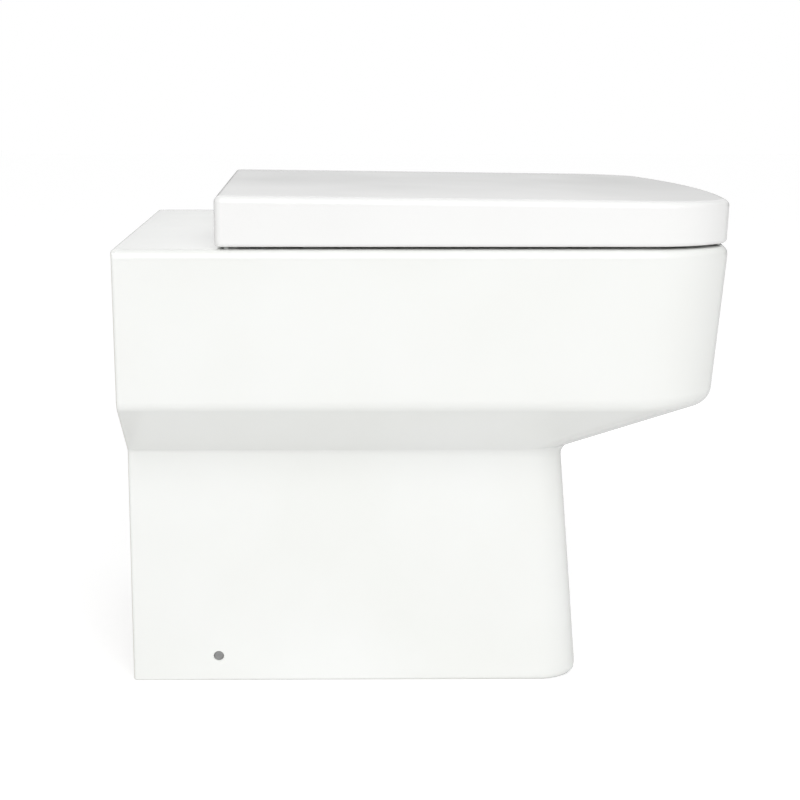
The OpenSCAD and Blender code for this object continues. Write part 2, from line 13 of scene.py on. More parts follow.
import bmesh
import bpy
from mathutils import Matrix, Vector


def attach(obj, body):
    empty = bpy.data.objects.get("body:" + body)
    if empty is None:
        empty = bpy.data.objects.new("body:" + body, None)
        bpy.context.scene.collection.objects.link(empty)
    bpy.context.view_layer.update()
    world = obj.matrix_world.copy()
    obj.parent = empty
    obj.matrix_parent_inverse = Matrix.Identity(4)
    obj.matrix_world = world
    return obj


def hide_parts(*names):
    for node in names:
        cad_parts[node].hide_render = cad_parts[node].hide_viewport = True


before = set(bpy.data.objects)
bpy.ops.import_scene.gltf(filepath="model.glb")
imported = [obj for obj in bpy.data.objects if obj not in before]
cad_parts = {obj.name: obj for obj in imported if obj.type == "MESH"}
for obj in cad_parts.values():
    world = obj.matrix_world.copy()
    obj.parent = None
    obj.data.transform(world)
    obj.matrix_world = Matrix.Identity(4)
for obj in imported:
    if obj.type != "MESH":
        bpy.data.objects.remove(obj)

log = logging.getLogger("toilet")

MM = 1000.0  # millimetres in a metre
WALL = 260.0  # the wall stands this far behind the origin
SIDES = (1, -1)  # right and left
BACK_SPANS, LONG_SPANS, CORNER_SPANS = 5, 14, 12  # spans of the arcs in an outline
LEAST_REACH = 0.05  # least distance from a corner to the ends of its rounding
STRAIGHT = 1e-4  # a corner that turns by less than twice this, in radians, counts as straight
WELD = 2e-6  # points nearer than this, in metres, become one

Piece = bpy.types.Object
Tree = bpy.types.NodeTree
Socket = bpy.types.NodeSocket
Point = tuple[float, float, float]
Pairs = Sequence[tuple[float, float]]
Ring = list[Vector]
Level = Callable[[float], float]
Maker = Callable[[int], Piece]


def to_frame(x: float, y: float, z: float) -> Vector:
    """Turns millimetres, with y forward of the wall, into metres in the shared frame."""
    return Vector((x / MM, (WALL - y) / MM, z / MM))


# ---- Outlines and sections ----


def arc(centre: Vector, radius: float, start: float, end: float, steps: int) -> list[Vector]:
    """Points along an arc, without its first point.

    Args:
        centre: Centre of the arc in plan.
        radius: Radius of the arc.
        start: Angle at which the arc starts, in degrees.
        end: Angle at which it ends, in degrees.
        steps: Number of points.

    Returns:
        The points from just after the start to the end.
    """
    angles = [math.radians(start + (end - start) * i / steps) for i in range(1, steps + 1)]
    return [centre + radius * Vector((math.cos(a), math.sin(a))) for a in angles]


def quarter(steps: int) -> list[tuple[float, float]]:
    """Sine and cosine at equal steps of a quarter turn, from 0 to 90 degrees."""
    angles = [math.radians(90 * i / steps) for i in range(steps + 1)]
    return [(math.sin(a), math.cos(a)) for a in angles]


def rounded(path: Sequence[Vector], radii: Sequence[float], steps: Sequence[int]) -> list[Vector]:
    """Rounds the inner corners of a path.

    Args:
        path: Corner points in two or three dimensions.
        radii: Radius at each inner corner.
        steps: Number of spans of the arc at each inner corner.

    Returns:
        The first point, the points of every arc, and the last point.
    """
    points = [path[0].copy()]
    for before, corner, after, radius, count in zip(path, path[1:], path[2:], radii, steps):
        back, ahead = (before - corner).normalized(), (after - corner).normalized()
        half = back.angle(ahead) / 2
        reach = max(radius / math.tan(half), LEAST_REACH)
        first, last = corner + back * reach, corner + ahead * reach
        if math.pi / 2 - half < STRAIGHT:
            points += [first.lerp(last, i / count) for i in range(count + 1)]
            continue
        middle = corner + (back + ahead).normalized() * (reach / math.cos(half))
        size = (first - middle).length
        for i in range(count + 1):
            points.append(middle + size * (first - middle).slerp(last - middle, i / count).normalized())
    points.append(path[-1].copy())
    return points


@dataclass(frozen=True)
class Plan:
    """Outline seen from above, with straight sides, soft corners and a bowed front.

    Attributes:
        half_width: Distance of the sides from the middle.
        front: Distance of the front from the wall.
        side_start: Distance from the wall at which the sides start to turn in.
        side_r: Radius with which the sides turn in.
        corner_r: Radius of the front corners.
        front_r: Radius of the bowed front.
    """

    half_width: float
    front: float
    side_start: float
    side_r: float
    corner_r: float
    front_r: float

    def inset(self, depth: float) -> "Plan":
        """Draws the outline in.

        Args:
            depth: How far it is drawn in all round.

        Returns:
            The smaller outline.
        """
        drawn_in = ("half_width", "front", "side_r", "corner_r", "front_r")
        return replace(self, **{name: getattr(self, name) - depth for name in drawn_in})

    def outline(self, height: float | Level, back: float = 0.0, corner: float = 3.0) -> Ring:
        """Closed ring of points along the outline.

        Args:
            height: Height of the ring, or a function that gives it from y.
            back: Distance of its back edge from the wall.
            corner: Radius of the back corners.

        Returns:
            The points, from the right back corner round the front to the left back corner.
        """
        side = Vector((self.half_width - self.side_r, self.side_start))
        nose = Vector((0.0, self.front - self.front_r))
        reach_a, reach_b = self.side_r - self.corner_r, self.front_r - self.corner_r
        gap = (nose - side).length
        along = (reach_a**2 - reach_b**2 + gap**2) / (2 * gap)
        ahead = (nose - side) / gap
        turn = side + along * ahead + math.sqrt(reach_a**2 - along**2) * Vector((-ahead.y, ahead.x))
        first = math.degrees(math.atan2(turn.y - side.y, turn.x - side.x))
        second = math.degrees(math.atan2(turn.y - nose.y, turn.x - nose.x))
        half = [Vector((self.half_width - corner, back))]
        half += arc(Vector((self.half_width - corner, back + corner)), corner, -90, 0, BACK_SPANS)
        half.append(Vector((self.half_width, self.side_start)))
        half += arc(side, self.side_r, 0, first, LONG_SPANS)
        half += arc(turn, self.corner_r, first, second, CORNER_SPANS)
        half += arc(nose, self.front_r, second, 90, LONG_SPANS)
        points = half + [Vector((-p.x, p.y)) for p in reversed(half[:-1])]
        level = height if callable(height) else lambda _y: height
        return [Vector((p.x, p.y, level(p.y))) for p in points]


def oval(width: float, back: float, front: float, square: float, z: float, count: int = 96) -> Ring:
    """Closed ring round a squarish oval.

    Args:
        width: Its width.
        back: Distance of its back from the wall.
        front: Distance of its front from the wall.
        square: 2 for an ellipse, and more for squarer corners.
        z: Its height.
        count: Number of points.

    Returns:
        The points.
    """
    ring = []
    for i in range(count):
        angle = 2 * math.pi * i / count
        c, s = math.cos(angle), math.sin(angle)
        x = width / 2 * math.copysign(abs(c) ** (2 / square), c)
        y = (back + front) / 2 + (front - back) / 2 * math.copysign(abs(s) ** (2 / square), s)
        ring.append(Vector((x, y, z)))
    return ring


def sections(
    keys: Sequence[Ring],
    radii: Callable[[Vector], Sequence[float]],
    steps: Sequence[int],
) -> list[Ring]:
    """Rings of a shape whose upright section has rounded corners.

    Args:
        keys: Rings through the corners of the section, from bottom to top.
        radii: Gives the radius at each inner key from a point of the outline.
        steps: Number of spans of the arc at each inner key.

    Returns:
        All the rings, from bottom to top.
    """
    paths = [rounded(path, radii(path[1]), steps) for path in zip(*keys)]
    return [list(ring) for ring in zip(*paths)]


# ---- Modelling ----


class Join(Enum):
    """What happens to a shape when another one meets it."""

    CUT = "DIFFERENCE"
    ADD = "UNION"


class Axis(Enum):
    """Direction of the axis of a turned shape, with the two directions across it."""

    X = ((1, 0, 0), (0, 1, 0), (0, 0, 1))
    Y = ((0, 1, 0), (0, 0, 1), (1, 0, 0))
    Z = ((0, 0, 1), (1, 0, 0), (0, 1, 0))


class Bench:
    """The modelling steps that all pieces share."""

    @staticmethod
    def focus(piece: Piece) -> None:
        """Makes one piece the only selected and active one.

        Args:
            piece: The piece.
        """
        bpy.ops.object.select_all(action="DESELECT")
        piece.select_set(True)
        bpy.context.view_layer.objects.active = piece

    @staticmethod
    def loft(name: str, rings: Sequence[Ring]) -> Piece:
        """Extrudes a closed shape ring by ring.

        Args:
            name: Name of the piece.
            rings: Rings of points with the same count.

        Returns:
            The new piece.
        """
        bpy.ops.object.select_all(action="DESELECT")
        bpy.ops.mesh.primitive_circle_add(vertices=len(rings[0]), radius=0.1, fill_type="NGON")
        piece = bpy.context.object
        piece.name = piece.data.name = name
        bpy.ops.object.mode_set(mode="EDIT")
        mesh = bmesh.from_edit_mesh(piece.data)
        place = mesh.verts.layers.int.new("place")
        for index, vert in enumerate(mesh.verts):
            vert[place] = index
        for count, ring in enumerate(rings):
            if count:
                bpy.ops.mesh.extrude_region_move()
                mesh = bmesh.from_edit_mesh(piece.data)
                place = mesh.verts.layers.int["place"]
            for vert in mesh.verts:
                if vert.select:
                    vert.co = to_frame(*ring[vert[place]])
            bmesh.update_edit_mesh(piece.data)
        bpy.ops.mesh.select_all(action="SELECT")
        bpy.ops.mesh.normals_make_consistent(inside=False)
        bpy.ops.object.mode_set(mode="OBJECT")
        return piece

    @staticmethod
    def turned(
        name: str,
        start: Point,
        axis: Axis,
        profile: Pairs,
        radii: Sequence[float] | None = None,
        sides: int = 48,
    ) -> Piece:
        """Turns a round shape about a straight axis.

        Args:
            name: Name of the piece.
            start: Point of the axis from which the profile is measured.
            axis: Direction of the axis.
            profile: Pairs of radius and distance along the axis.
            radii: Radius of the rounding at each inner point of the profile.
            sides: Number of points round the shape.

        Returns:
            The new piece.
        """
        path = [Vector(pair) for pair in profile]
        if radii:
            path = rounded(path, radii, [4] * len(radii))
        along, across, up = (Vector(direction) for direction in axis.value)
        angles = [2 * math.pi * i / sides for i in range(sides)]
        rings = [
            [Vector(start) + along * p.y + p.x * (across * math.cos(a) + up * math.sin(a)) for a in angles]
            for p in path
        ]
        return Bench.loft(name, rings)

    @staticmethod
    def bar(
        name: str,
        start: Point,
        axis: Axis,
        radius: float,
        length: float,
        sides: int = 48,
        soft: tuple[float, float] | None = None,
        flat: float = 0.0,
    ) -> Piece:
        """Turns a round bar, or the space of a hole.

        Args:
            name: Name of the piece.
            start: Middle of its first end.
            axis: Direction of its axis.
            radius: Its radius.
            length: Its length along the axis, which may be negative.
            sides: Number of points round it.
            soft: Radii of the edges of its first and last end, or None for sharp ones.
            flat: Radius of the flat middle of soft ends.

        Returns:
            The new piece.
        """
        profile = [(radius, 0), (radius, length)]
        if soft:
            profile = [(flat, 0), *profile, (flat, length)]
        return Bench.turned(name, start, axis, profile, soft, sides)

    @staticmethod
    def block(name: str, low: Point, high: Point, edge: float = 0.0) -> Piece:
        """Cuts a block between two corners and rounds its edges.

        Args:
            name: Name of the piece.
            low: Its lowest corner.
            high: Its highest corner.
            edge: Radius of its edges.

        Returns:
            The new piece.
        """
        corners = [(low[0], low[1]), (high[0], low[1]), (high[0], high[1]), (low[0], high[1])]
        piece = Bench.loft(name, [[Vector((x, y, z)) for x, y in corners] for z in (low[2], high[2])])
        return Bench.eased(piece, edge)

    @staticmethod
    def slab(name: str, x: tuple[float, float], side: Pairs, edge: float = 0.0) -> Piece:
        """Cuts a slab whose side view is a polygon.

        Args:
            name: Name of the piece.
            x: Its two ends across the object.
            side: Corners of the side view, as pairs of y and z.
            edge: Radius of its edges.

        Returns:
            The new piece.
        """
        piece = Bench.loft(name, [[Vector((end, y, z)) for y, z in side] for end in x])
        return Bench.eased(piece, edge)

    @staticmethod
    def eased(piece: Piece, edge: float) -> Piece:
        """Rounds the sharp edges of a piece.

        Args:
            piece: The piece.
            edge: Radius of its edges, or 0 for none.

        Returns:
            The same piece.
        """
        if edge > 0:
            Bench.focus(piece)
            step = piece.modifiers.new("ease", "BEVEL")
            step.width = edge / MM
            step.segments = 3
            step.limit_method = "ANGLE"
            step.angle_limit = math.radians(30)
            bpy.ops.object.modifier_apply(modifier=step.name)
        return piece

    @staticmethod
    def meet(piece: Piece, how: Join, tools: Sequence[Piece]) -> Piece:
        """Cuts other shapes out of a piece, or joins them to it, and removes them.

        Args:
            piece: The piece that is kept.
            how: Whether the tools are cut out or added.
            tools: The other shapes.

        Returns:
            The same piece.
        """
        for tool in tools:
            Bench.focus(piece)
            step = piece.modifiers.new("meet", "BOOLEAN")
            step.operation = how.value
            step.solver = "MANIFOLD"
            step.material_mode = "TRANSFER"
            step.object = tool
            before = len(piece.data.vertices)
            bpy.ops.object.modifier_apply(modifier=step.name)
            if len(piece.data.vertices) == before:
                log.warning("%s: %s changed nothing", piece.name, tool.name)
            bpy.data.objects.remove(tool)
        return piece

    @staticmethod
    def mirrored(piece: Piece, name: str) -> Piece:
        """Copies a piece to the other side of the object.

        Args:
            piece: The piece on one side.
            name: Name of the copy.

        Returns:
            The copy, with its own mesh.
        """
        twin = piece.copy()
        twin.data = piece.data.copy()
        twin.name = twin.data.name = name
        bpy.context.collection.objects.link(twin)
        for vert in twin.data.vertices:
            vert.co.x = -vert.co.x
        Bench.focus(twin)
        bpy.ops.object.mode_set(mode="EDIT")
        bpy.ops.mesh.select_all(action="SELECT")
        bpy.ops.mesh.normals_make_consistent(inside=False)
        bpy.ops.object.mode_set(mode="OBJECT")
        return twin

    @staticmethod
    def both(make: Maker) -> list[Piece]:
        """Makes a shape on each side, which is 1 for the right and -1 for the left."""
        return [make(side) for side in SIDES]

    @staticmethod
    def spots(right: Pairs) -> list[tuple[float, float]]:
        """Follows each place on the right, given as x and y, by its mirror image on the left."""
        return [(side * x, y) for x, y in right for side in SIDES]

    @staticmethod
    def smooth(piece: Piece, degrees: float = 32.0) -> None:
        """Shades the curved faces smooth and keeps the flat ones flat.

        Args:
            piece: The piece.
            degrees: Edges that turn more than this stay sharp.
        """
        Bench.focus(piece)
        bpy.ops.object.mode_set(mode="EDIT")
        bpy.ops.mesh.select_all(action="SELECT")
        bpy.ops.mesh.remove_doubles(threshold=WELD)
        bpy.ops.object.mode_set(mode="OBJECT")
        bpy.ops.object.shade_smooth_by_angle(angle=math.radians(degrees))
        step = piece.modifiers.new("even", "WEIGHTED_NORMAL")
        step.mode = "FACE_AREA"
        step.keep_sharp = True
        bpy.ops.object.modifier_apply(modifier=step.name)


# ---- Finishes ----


def linear(hex_colour: str) -> tuple[float, float, float, float]:
    """Turns an sRGB hex colour into linear light.

    Args:
        hex_colour: The colour, such as #F4F4F0.

    Returns:
        Red, green, blue and an alpha of 1.
    """
    # the sRGB curve is straight near black and a power above that
    parts = [int(hex_colour[i : i + 2], 16) / 255 for i in (1, 3, 5)]
    light = [p / 12.92 if p <= 0.04045 else ((p + 0.055) / 1.055) ** 2.4 for p in parts]
    return (light[0], light[1], light[2], 1.0)


def add_node(
    tree: Tree,
    kind: str,
    settings: dict[str, object] | None = None,
    links: dict[str | int, Socket] | None = None,
) -> bpy.types.Node:
    """Adds a node with its settings and links.

    Args:
        tree: The node tree.
        kind: The node's type, without its ShaderNode prefix.
        settings: Values by the name of a field or of an input socket.
        links: Output sockets by the name or number of the input socket that they feed.

    Returns:
        The new node.
    """
    node = tree.nodes.new("ShaderNode" + kind)
    for name, value in (settings or {}).items():
        if hasattr(node, name):
            setattr(node, name, value)
        else:
            node.inputs[name].default_value = value
    for name, socket in (links or {}).items():
        tree.links.new(socket, node.inputs[name])
    return node


def end_tree(tree: Tree, kind: str, light: Socket, seen: Socket) -> None:
    """Ends a node tree with one shader that gives light and another that the camera sees.

    Args:
        tree: The node tree.
        kind: The type of its output node, without its ShaderNode prefix.
        light: Shader that gives light.
        seen: Shader that the camera sees.
    """
    path = add_node(tree, "LightPath")
    mix = add_node(tree, "MixShader", {}, {"Fac": path.outputs["Is Camera Ray"], 1: light, 2: seen})
    add_node(tree, kind, {}, {"Surface": mix.outputs["Shader"]})


@dataclass(frozen=True)
class Finish:
    """A finish whose colour, gloss and relief vary a little over the piece.

    Attributes:
        name: What the real material is.
        light_tone: Its paler colour.
        dark_tone: Its deeper colour.
        roughness: Least and greatest roughness.
        cloud_mm: Size of the patches in which the colour drifts.
        grain_mm: Size of the fine relief.
        grain_depth_mm: Height of the fine relief.
        wave_mm: Size of the slow unevenness of the surface.
        wave_depth_mm: Height of the slow unevenness.
        stretch: How far the pattern is drawn out along x, y and z.
        sockets: Other settings of the shader.
    """

    name: str
    light_tone: str
    dark_tone: str
    roughness: tuple[float, float]
    cloud_mm: float
    grain_mm: float
    grain_depth_mm: float
    wave_mm: float = 60.0
    wave_depth_mm: float = 0.0
    stretch: tuple[float, float, float] = (1.0, 1.0, 1.0)
    sockets: dict[str, object] = field(default_factory=dict)

    def material(self) -> bpy.types.Material:
        """Builds the material, once for each finish.

        Returns:
            The material.
        """
        made = bpy.data.materials.get(self.name)
        if made:
            return made
        made = bpy.data.materials.new(self.name)
        made.use_nodes = True
        tree = made.node_tree
        tree.nodes.clear()
        place = add_node(tree, "TexCoord")
        drawn = add_node(tree, "Mapping", {"Scale": self.stretch}, {"Vector": place.outputs["Object"]})
        at = {"Vector": drawn.outputs["Vector"]}
        cloud = add_node(tree, "TexNoise", {"Scale": MM / self.cloud_mm, "Detail": 2.0}, at)
        grain = add_node(tree, "TexNoise", {"Scale": MM / self.grain_mm, "Detail": 3.0}, at)
        tone = add_node(tree, "ValToRGB", {}, {"Fac": cloud.outputs["Fac"]})
        ramp = ((0.35, self.dark_tone), (0.65, self.light_tone))
        for element, (position, colour) in zip(tone.color_ramp.elements, ramp):
            element.position = position
            element.color = linear(colour)
        least, most = self.roughness
        span = {"From Min": 0.3, "From Max": 0.7, "To Min": least, "To Max": most}
        gloss = add_node(tree, "MapRange", span, {"Value": cloud.outputs["Fac"]})
        depth = {"Strength": 1.0, "Distance": self.grain_depth_mm / MM}
        relief = add_node(tree, "Bump", depth, {"Height": grain.outputs["Fac"]})
        if self.wave_depth_mm:
            wave = add_node(tree, "TexNoise", {"Scale": MM / self.wave_mm, "Detail": 1.0}, at)
            depth = {"Strength": 1.0, "Distance": self.wave_depth_mm / MM}
            under = {"Height": wave.outputs["Fac"], "Normal": relief.outputs["Normal"]}
            relief = add_node(tree, "Bump", depth, under)
        feeds = {
            "Base Color": tone.outputs["Color"],
            "Roughness": gloss.outputs["Result"],
            "Normal": relief.outputs["Normal"],
        }
        shader = add_node(tree, "BsdfPrincipled", self.sockets, feeds)
        add_node(tree, "OutputMaterial", {}, {"Surface": shader.outputs["BSDF"]})
        return made


# A thick opaque glaze, fired until it flows: white, mirror smooth, with a slow waviness that
# bends the reflections and a faint orange peel.
GLAZED_CHINA = Finish(
    "glazed_vitreous_china", "#F6F7F5", "#F3F4F1", (0.09, 0.14), cloud_mm=160, grain_mm=5,
    grain_depth_mm=0.004, wave_mm=85, wave_depth_mm=0.10,
    sockets={"IOR": 1.52, "Coat Weight": 0.1, "Coat Roughness": 0.03, "Coat IOR": 1.52},
)

# The bare fired body inside the hollow, on the foot and against the wall: matt, a touch warmer,
# with the fine tooth of the plaster mould.
BARE_CHINA = Finish(
    "unglazed_vitreous_china", "#E9E5DC", "#DDD8CC", (0.75, 0.9), cloud_mm=45, grain_mm=1.2,
    grain_depth_mm=0.05, wave_mm=30, wave_depth_mm=0.2,
    sockets={"IOR": 1.5},
)

# Compression moulded urea resin, polished in the mould: neutral white, glossy and very even.
UREA_RESIN = Finish(
    "gloss_moulded_urea_resin", "#F7F7F6", "#F4F4F3", (0.14, 0.19), cloud_mm=220, grain_mm=3,
    grain_depth_mm=0.0015, wave_mm=120, wave_depth_mm=0.03,
    sockets={"IOR": 1.5},
)

# Polished brass under nickel and chromium: a bright, slightly blue mirror with soft haze marks.
PLATED_BRASS = Finish(
    "chromium_plated_brass", "#DCDEE2", "#CDD0D5", (0.05, 0.12), cloud_mm=9, grain_mm=1.5,
    grain_depth_mm=0.001,
    sockets={"Metallic": 1.0},
)

# Drawn stainless bar for pins, bolts and screws: satin, with drawing lines along the bar.
STAINLESS_BAR = Finish(
    "drawn_stainless_steel", "#B9B9B7", "#9C9C9B", (0.25, 0.38), cloud_mm=14, grain_mm=0.8,
    grain_depth_mm=0.01, stretch=(0.2, 1.0, 1.0),
    sockets={"Metallic": 1.0},
)

# Soft pale rubber of the buffers and gaskets: matt, dusty, with a fine moulded skin.
PALE_RUBBER = Finish(
    "moulded_pale_rubber", "#D6D6D0", "#C6C6BF", (0.55, 0.7), cloud_mm=12, grain_mm=0.6,
    grain_depth_mm=0.02,
    sockets={"IOR": 1.5},
)

# Black rubber of the cone washers: matt, with greyish bloom.
BLACK_RUBBER = Finish(
    "moulded_black_rubber", "#232323", "#161616", (0.55, 0.75), cloud_mm=10, grain_mm=0.6,
    grain_depth_mm=0.02,
    sockets={"IOR": 1.5},
)

# Mid grey moulded nylon of the caps, sleeves and dampers: satin, with a faint spark pattern.
GREY_NYLON = Finish(
    "moulded_grey_nylon", "#929292", "#858585", (0.4, 0.5), cloud_mm=8, grain_mm=0.7,
    grain_depth_mm=0.01,
    sockets={"IOR": 1.53},
)

# White moulded nylon of the bushes, nuts and brackets: satin and slightly creamy.
WHITE_NYLON = Finish(
    "moulded_white_nylon", "#E8E7E1", "#DCDBD4", (0.4, 0.5), cloud_mm=18, grain_mm=0.9,
    grain_depth_mm=0.015,
    sockets={"IOR": 1.53},
)


def dress(piece: Piece, finish: Finish) -> Piece:
    """Gives a piece one finish all over.

    Args:
        piece: The piece or frame node.
        finish: Its finish.

    Returns:
        The same piece.
    """
    piece.data.materials.clear()
    piece.data.materials.append(finish.material())
    return piece


def mount(piece: Piece, body: str, nodes: Sequence[str]) -> None:
    """Sets a finished piece on its body in place of the frame nodes that it stands for.

    Args:
        piece: The finished piece.
        body: The body that it moves with.
        nodes: The frame nodes that it replaces.
    """
    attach(piece, body)
    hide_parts(*nodes)
    log.info("%s: %d faces on %s", piece.name, len(piece.data.polygons), body)


def mount_pair(right: Piece, finish: Finish, node: str, degrees: float = 32.0) -> None:
    """Dresses a piece on the right, mirrors it to the left and mounts both on the pan.

    Args:
        right: The piece on the right.
        finish: The finish of both.
        node: What the frame nodes of both are called, before their side.
        degrees: Edges that turn more than this stay sharp.
    """
    dress(right, finish)
    left = Bench.mirrored(right, node + "_l")
    for piece, side in ((right, "right"), (left, "left")):
        Bench.smooth(piece, degrees)
        mount(piece, "pan_body", [f"{node}_{side}"])


# ---- Places that several pieces share ----

HINGE_AXIS = (93.0, 430.0)  # y and z of the axis of the seat and lid
HINGE_BOLT = (77.5, 113.5)  # x and y of the right fixing bolt of the seat
SIDE_HOLE = (78.0, 24.0)  # y and z of the side fixing holes in the foot


# ---- Pan ----


@dataclass
class China:
    """The fired china: pan, rim, bowl, sump, trap and inlet in one glazed piece."""

    height: float = 400.0
    deck_under: float = 386.0
    chin: float = 269.0
    waist: float = 216.0
    wall: float = 10.0
    side_taper: float = 0.0127
    front_taper: float = 0.0432
    upright: float = 10.0
    rim_plan: Plan = Plan(180, 520, 438, 88, 26, 700)
    waist_plan: Plan = Plan(119.5, 394, 349, 45, 22, 520)
    foot_plan: Plan = Plan(127.5, 418, 373, 45, 22, 520)
    # how far the skin runs in under the foot and over the deck before it is closed
    foot_lip: float = 6.0
    deck_lip: float = 9.0
    # radii of the section at the foot, waist, chin, upright and deck edge, and what they gain at
    # the front, from front_from onwards over a distance of front_over, and at the wall
    section_r: tuple[float, ...] = (2.0, 3.5, 12.0, 60.0, 7.5)
    front_gain: tuple[float, ...] = (6.0, 9.0, 5.0, 0.0, 0.0)
    wall_gain: tuple[float, ...] = (0.0, 0.0, 0.0, 0.0, -4.5)
    front_from: float = 340.0
    front_over: float = 60.0
    wall_within: float = 1.5
    bare_within: float = 0.4
    hollow_r: float = 8.0
    bowl_width: float = 250.0
    bowl_back: float = 165.0
    bowl_front: float = 470.0
    rim_under: float = 358.0
    rim_reach: float = 33.0
    shell: float = 9.0
    overlap: float = 3.0
    # the waste spigot and the flush inlet: height, outer radius and radius of the bore
    outlet: float = 180.0
    outlet_r: float = 51.0
    outlet_bore: float = 43.0
    inlet: float = 345.0
    inlet_r: float = 36.5
    inlet_bore: float = 27.5
    trap_bore: float = 28.0
    bolt_hole_r: float = 6.5
    # distances outside the opening: the row of flush holes, and both walls of their channel
    flush_out: float = 15.0
    channel_out: tuple[float, float] = (9.0, 23.0)
    flush_holes: int = 18
    flush_hole_r: float = 3.5

    def plan_at(self, z: float) -> Plan:
        """Outline of the upper body at a height.

        Args:
            z: The height.

        Returns:
            The outline, drawn in by the slope of the sides and of the front.
        """
        lean = self.front_taper * max(self.height - self.upright - z, 0.0)
        top = self.rim_plan
        return replace(
            top,
            half_width=top.half_width - self.side_taper * (self.height - z),
            front=top.front - lean,
            side_start=top.side_start - lean,
        )

    def radii(self, point: Vector) -> list[float]:
        """Radii of the skin's section at one point of the outline.

        Args:
            point: The point, on the foot.

        Returns:
            The radii at the foot, waist, chin, upright and deck edge.
        """
        front = min(max((point.y - self.front_from) / self.front_over, 0.0), 1.0)
        rear = 1.0 if point.y < self.wall_within else 0.0
        gains = zip(self.section_r, self.front_gain, self.wall_gain)
        return [radius + at_front * front + at_wall * rear for radius, at_front, at_wall in gains]

    def outside(self) -> Piece:
        """Models the outer skin.

        Returns:
            The skin, closed at the back and on the floor.
        """
        top = self.height
        keys = [
            self.foot_plan.inset(self.foot_lip).outline(0, self.foot_lip, 1),
            self.foot_plan.outline(0),
            self.waist_plan.outline(self.waist),
            self.plan_at(self.chin).outline(self.chin),
            self.plan_at(top - self.upright).outline(top - self.upright),
            self.rim_plan.outline(top),
            self.rim_plan.inset(self.deck_lip).outline(top, self.deck_lip, 1),
        ]
        return Bench.loft("china", sections(keys, self.radii, [3, 6, 10, 2, 7]))

    def hollow(self) -> Piece:
        """Models the space inside the skin.

        Returns:
            The space, which is open at the back and below.
        """
        wall, roof, top, past = self.wall, self.deck_under, self.plan_at(self.height), -1
        # inside, the slope under the body lies a little higher, so that it is as thick as the walls
        keys = [
            self.foot_plan.inset(wall).outline(past, past),
            self.waist_plan.inset(wall).outline(self.waist + 3, past),
            self.plan_at(self.chin).inset(wall).outline(self.chin + 6, past),
            top.inset(wall).outline(roof, past),
            top.inset(wall + 12).outline(roof, past),
        ]
        return Bench.loft("hollow", sections(keys, lambda _p: [self.hollow_r] * 3, [3, 3, 4]))

    def opening(self, wider: float, z: float) -> Ring:
        """Ring of the bowl's opening, wider than its edge by a distance."""
        return oval(self.bowl_width + 2 * wider, self.bowl_back - wider, self.bowl_front + wider, 3, z)

    def mouth(self) -> Piece:
        """Models the way down through the rim.

        Returns:
            The space, with room for soft upper and lower edges.
        """
        low, high, r_low, r_high = self.rim_under, self.height, 5.0, 7.0
        rings = [self.opening(r_low, low - 0.5)]
        rings += [self.opening(r_low * (1 - s), low + r_low * (1 - c)) for s, c in quarter(5)]
        rings += [self.opening(r_high * (1 - c), high - r_high * (1 - s)) for s, c in quarter(8)]
        rings.append(self.opening(r_high, high + 1))
        return Bench.loft("mouth", rings)

    @staticmethod
    def bowl_rings() -> list[tuple[float, ...]]:
        """Spaces the rings of the bowl smoothly between the measured ones.

        Returns:
            Width, back, front, squareness and height of each ring, from the bottom up.
        """
        keys = [
            (30, 287, 319, 2, 88),
            (56, 272, 334, 2, 97),
            (78, 261, 345, 2, 122),
            (96, 256, 352, 2.1, 150),
            (116, 242, 352, 2.3, 200),
            (184, 216, 402, 2.5, 250),
            (240, 180, 461, 2.8, 305),
            (286, 149, 486, 3, 345),
            (294, 143, 492, 3, 358),
        ]
        steps = 6

        def between(p: float, q: float, r: float, s: float, t: float) -> float:
            """Value a part t of the way from q to r on a smooth curve through p, q, r and s."""
            square, cube = 2 * p - 5 * q + 4 * r - s, 3 * q - p - 3 * r + s
            return 0.5 * (2 * q + (r - p) * t + square * t**2 + cube * t**3)

        rings = []
        for i in range(len(keys) - 1):
            near = [keys[min(max(i + k, 0), len(keys) - 1)] for k in (-1, 0, 1, 2)]
            rings += [tuple(between(*four, step / steps) for four in zip(*near)) for step in range(steps)]
        return rings + [tuple(float(v) for v in keys[-1])]

    def bowl(self, name: str, out: float, rise: float) -> Piece:
        """The bowl's outer or inner shape.

        Args:
            name: Name of the shape.
            out: Distance outside the inner face.
            rise: How far it runs up past the underside of the rim.

        Returns:
            The shape.
        """
        bottom, fade = 118.0, 20.0  # below this height the wall is added underneath as well
        rings = []
        for width, back, front, square, z in self.bowl_rings():
            drop = out * min(max((bottom - z) / fade, 0.0), 1.0)
            rings.append(oval(width + 2 * out, back - out, front + out, square, z - drop))
        last = [Vector((p.x, p.y, p.z + rise)) for p in rings[-1]]
        return Bench.loft(name, rings + [last])

    @staticmethod
    def trap_line() -> list[tuple[Vector, Vector]]:
        """Draws the middle of the trap, in y and z.

        Returns:
            Pairs of a point and the direction there, from the bowl to the waste spigot.
        """
        start_y, rise_y, floor = 311.0, 264.0, 116.0
        rise_turn, rise_r, rise_l = 70.0, 46.0, 50.0
        weir_r, weir_end, fall_l, turn_r = 42.0, 125.0, 30.0, 60.0

        def way(angle: float) -> Vector:
            """Unit direction at an angle in degrees."""
            return Vector((math.cos(math.radians(angle)), math.sin(math.radians(angle))))

        rise_c = Vector((rise_y, floor + rise_r))
        weir_c = rise_c - (rise_r + weir_r) * way(90 - rise_turn) + rise_l * way(180 - rise_turn)
        turn_c = weir_c + (weir_r + turn_r) * way(weir_end) + fall_l * way(weir_end + 90)
